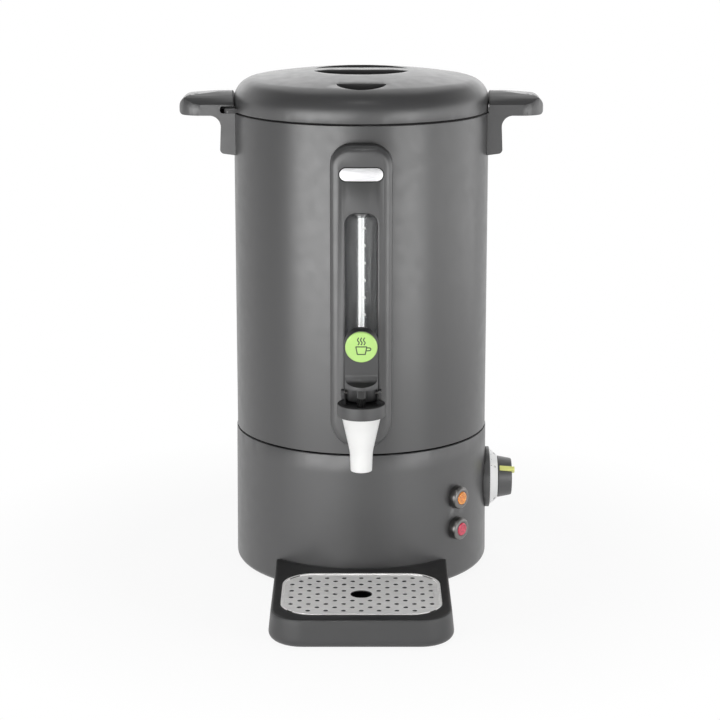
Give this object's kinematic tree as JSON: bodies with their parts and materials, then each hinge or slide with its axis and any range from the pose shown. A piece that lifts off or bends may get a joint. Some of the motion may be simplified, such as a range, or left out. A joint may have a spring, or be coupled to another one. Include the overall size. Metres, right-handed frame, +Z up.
{
  "type": "hot drink dispenser",
  "caption": "Tall round water boiler for hot drinks with a lift-off twist lid, side grips, a sight gauge, a push tap, a heat dial with lamps, and a loose drip tray.",
  "frame": {"origin": "on the table plane under the tank's axis", "axes": "+Z up, -Y towards the tap and the person who uses it, +X towards the dial"},
  "size_m": [0.328, 0.3667, 0.4585],
  "materials": {
    "tank_paint": "satin dark grey coating",
    "dark_plastic": "fine-grained dark grey moulding",
    "black_plastic": "satin black moulding",
    "green_plastic": "bright yellow-green",
    "white_plastic": "satin white",
    "silver_plastic": "pale silver",
    "clear_tube": "clear",
    "bright_metal": "polished",
    "orange_lens": "tinted translucent",
    "red_lens": "tinted translucent",
    "steel": "satin stainless",
    "black_steel": "gloss black",
    "brass_nut": "plain",
    "cast_aluminium": "as cast",
    "dark_rubber": "matte",
    "seal_rubber": "matte"
  },
  "bodies": {
    "housing": {"badge_plate": "bright_metal", "base_feet": "dark_rubber", "base_housing": "dark_plastic", "base_plate": "steel", "base_screws": "steel", "cord_gland": "black_plastic", "front_panel": "dark_plastic", "gauge_cap": "black_plastic", "gauge_scale": "white_plastic", "gauge_seal": "seal_rubber", "gauge_tube": "clear_tube", "handle_left": "dark_plastic", "handle_right": "dark_plastic", "handle_screws": "steel", "heating_element": "steel", "heating_plate": "cast_aluminium", "knob_bezel": "black_plastic", "lamp_bezels": "bright_metal", "lamp_bodies": "black_plastic", "lamp_lens_heating": "orange_lens", "lamp_lens_power": "red_lens", "lever_pin": "steel", "scale_ring": "silver_plastic", "tank": "tank_paint", "tank_floor": "steel", "tank_nuts": "steel", "tank_rim": "tank_paint", "tap_body": "black_plastic", "tap_collar": "black_plastic", "tap_gasket": "seal_rubber", "tap_nozzle": "white_plastic", "tap_nut": "brass_nut", "terminal_block": "white_plastic", "thermal_cutout": "black_plastic", "thermostat_body": "black_plastic", "thermostat_nut": "steel", "valve_spring": "steel"},
    "lid_carrier": {"lid_seal": "dark_rubber"},
    "lid": {"lid_cover": "dark_plastic", "lid_liner": "steel", "lid_screws": "steel"},
    "lever": {"tap_lever": "black_plastic", "lever_button": "green_plastic"},
    "valve": {"valve_stem": "black_steel", "valve_plug": "dark_rubber"},
    "knob": {"knob": "black_plastic", "knob_pointer": "green_plastic", "thermostat_shaft": "steel"},
    "tray": {"drip_tray": "dark_plastic", "tray_feet": "dark_rubber"},
    "grille": {"drip_grille": "steel"}
  },
  "joints": [
    {"name": "lid_lift", "type": "slide", "parent": "housing", "child": "lid_carrier", "axis": [0, 0, 1], "range_m": [0, 0.15]},
    {"name": "lid_turn", "type": "hinge", "parent": "lid_carrier", "child": "lid", "pos_m": [0, 0, 0.4226], "axis": [0, 0, 1], "range_deg": [-15, 0]},
    {"name": "lever_press", "type": "hinge", "parent": "housing", "child": "lever", "pos_m": [0, -0.142, 0.194], "axis": [-1, 0, 0], "range_deg": [0, 9]},
    {"name": "valve_lift", "type": "slide", "parent": "housing", "child": "valve", "axis": [0, 0, 1], "range_m": [0, 0.0029], "stiffness_N_per_m": 200, "springref_m": -0.004, "deforming": ["valve_spring"]},
    {"name": "knob_turn", "type": "hinge", "parent": "housing", "child": "knob", "pos_m": [0.13, 0, 0.076], "axis": [1, 0, 0], "range_deg": [-270, 0]},
    {"name": "tray_slide", "type": "slide", "parent": "housing", "child": "tray", "axis": [0, -1, 0], "range_m": [0, 0.12]},
    {"name": "grille_lift", "type": "slide", "parent": "tray", "child": "grille", "axis": [0, 0, 1], "range_m": [0, 0.06]}
  ],
  "couplings": [
    {"joint": "lever_press", "follows": "valve_lift", "rad_per_m": 54.15}
  ]
}
